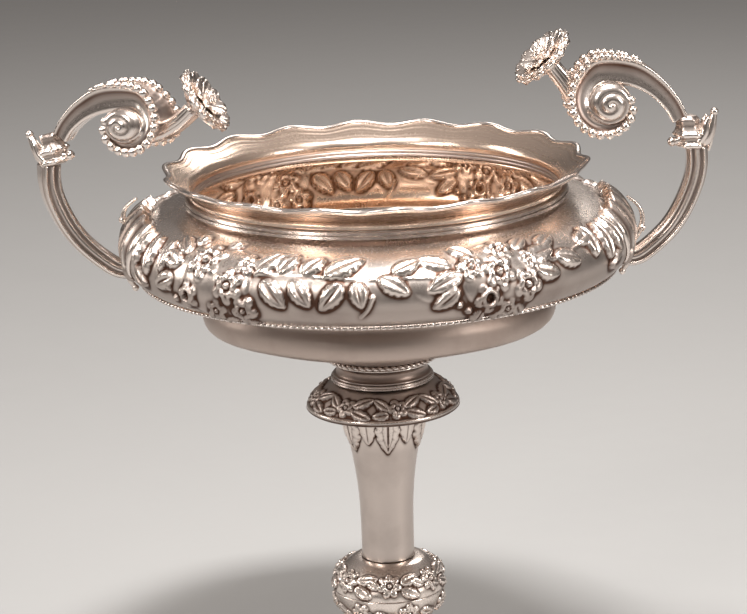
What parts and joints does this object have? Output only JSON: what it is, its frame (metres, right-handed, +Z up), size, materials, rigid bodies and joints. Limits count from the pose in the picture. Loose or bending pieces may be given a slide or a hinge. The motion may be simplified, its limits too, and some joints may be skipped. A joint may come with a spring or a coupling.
{
  "type": "two-handled cup trophy",
  "caption": "Pedestal cup trophy: a cushion bowl with a scalloped rim and two scroll handles ending in flowers, on a trumpet stem, knop and domed foot.",
  "frame": {"origin": "centre of the foot's base, in the plane it stands on", "axes": "+Z up along the cup's axis, +X towards the right handle, +Y away from the front"},
  "size_m": [0.3219, 0.2372, 0.3362],
  "materials": {
    "polished_silver": "polished",
    "chased_silver": "chased and polished",
    "handle_silver": "cast and polished",
    "warm_silver": "polished, warm-toned",
    "fixing_brass": "turned",
    "fixing_steel": "turned"
  },
  "bodies": {
    "root": {"rim_wire": "polished_silver", "rim_band": "warm_silver", "neck_moulding_upper": "polished_silver", "neck_moulding_lower": "polished_silver", "bowl_shell": "chased_silver", "edge_wire": "polished_silver", "bowl_pan": "polished_silver", "rope_ring": "polished_silver", "spool_collar": "polished_silver", "flange_ring": "polished_silver", "drip_pan": "chased_silver", "stem": "chased_silver", "knop_upper": "chased_silver", "knop_lower": "chased_silver", "foot_neck": "polished_silver", "foot_dome": "chased_silver", "foot_border": "chased_silver", "foot_rim_wire": "polished_silver", "bowl_boss": "fixing_brass", "tie_rod": "fixing_steel", "stem_bush": "fixing_brass", "knop_sleeve": "fixing_brass", "clamp_plate": "fixing_brass", "washer": "fixing_steel", "clamp_nut": "fixing_steel", "left_mount_plate": "chased_silver", "left_lower_scroll": "handle_silver", "left_elbow_cap": "handle_silver", "left_upper_scroll": "handle_silver", "left_flower_stem": "handle_silver", "left_flower": "handle_silver", "left_flower_eye": "handle_silver", "right_mount_plate": "chased_silver", "right_lower_scroll": "handle_silver", "right_elbow_cap": "handle_silver", "right_upper_scroll": "handle_silver", "right_flower_stem": "handle_silver", "right_flower": "handle_silver", "right_flower_eye": "handle_silver"}
  },
  "joints": []
}
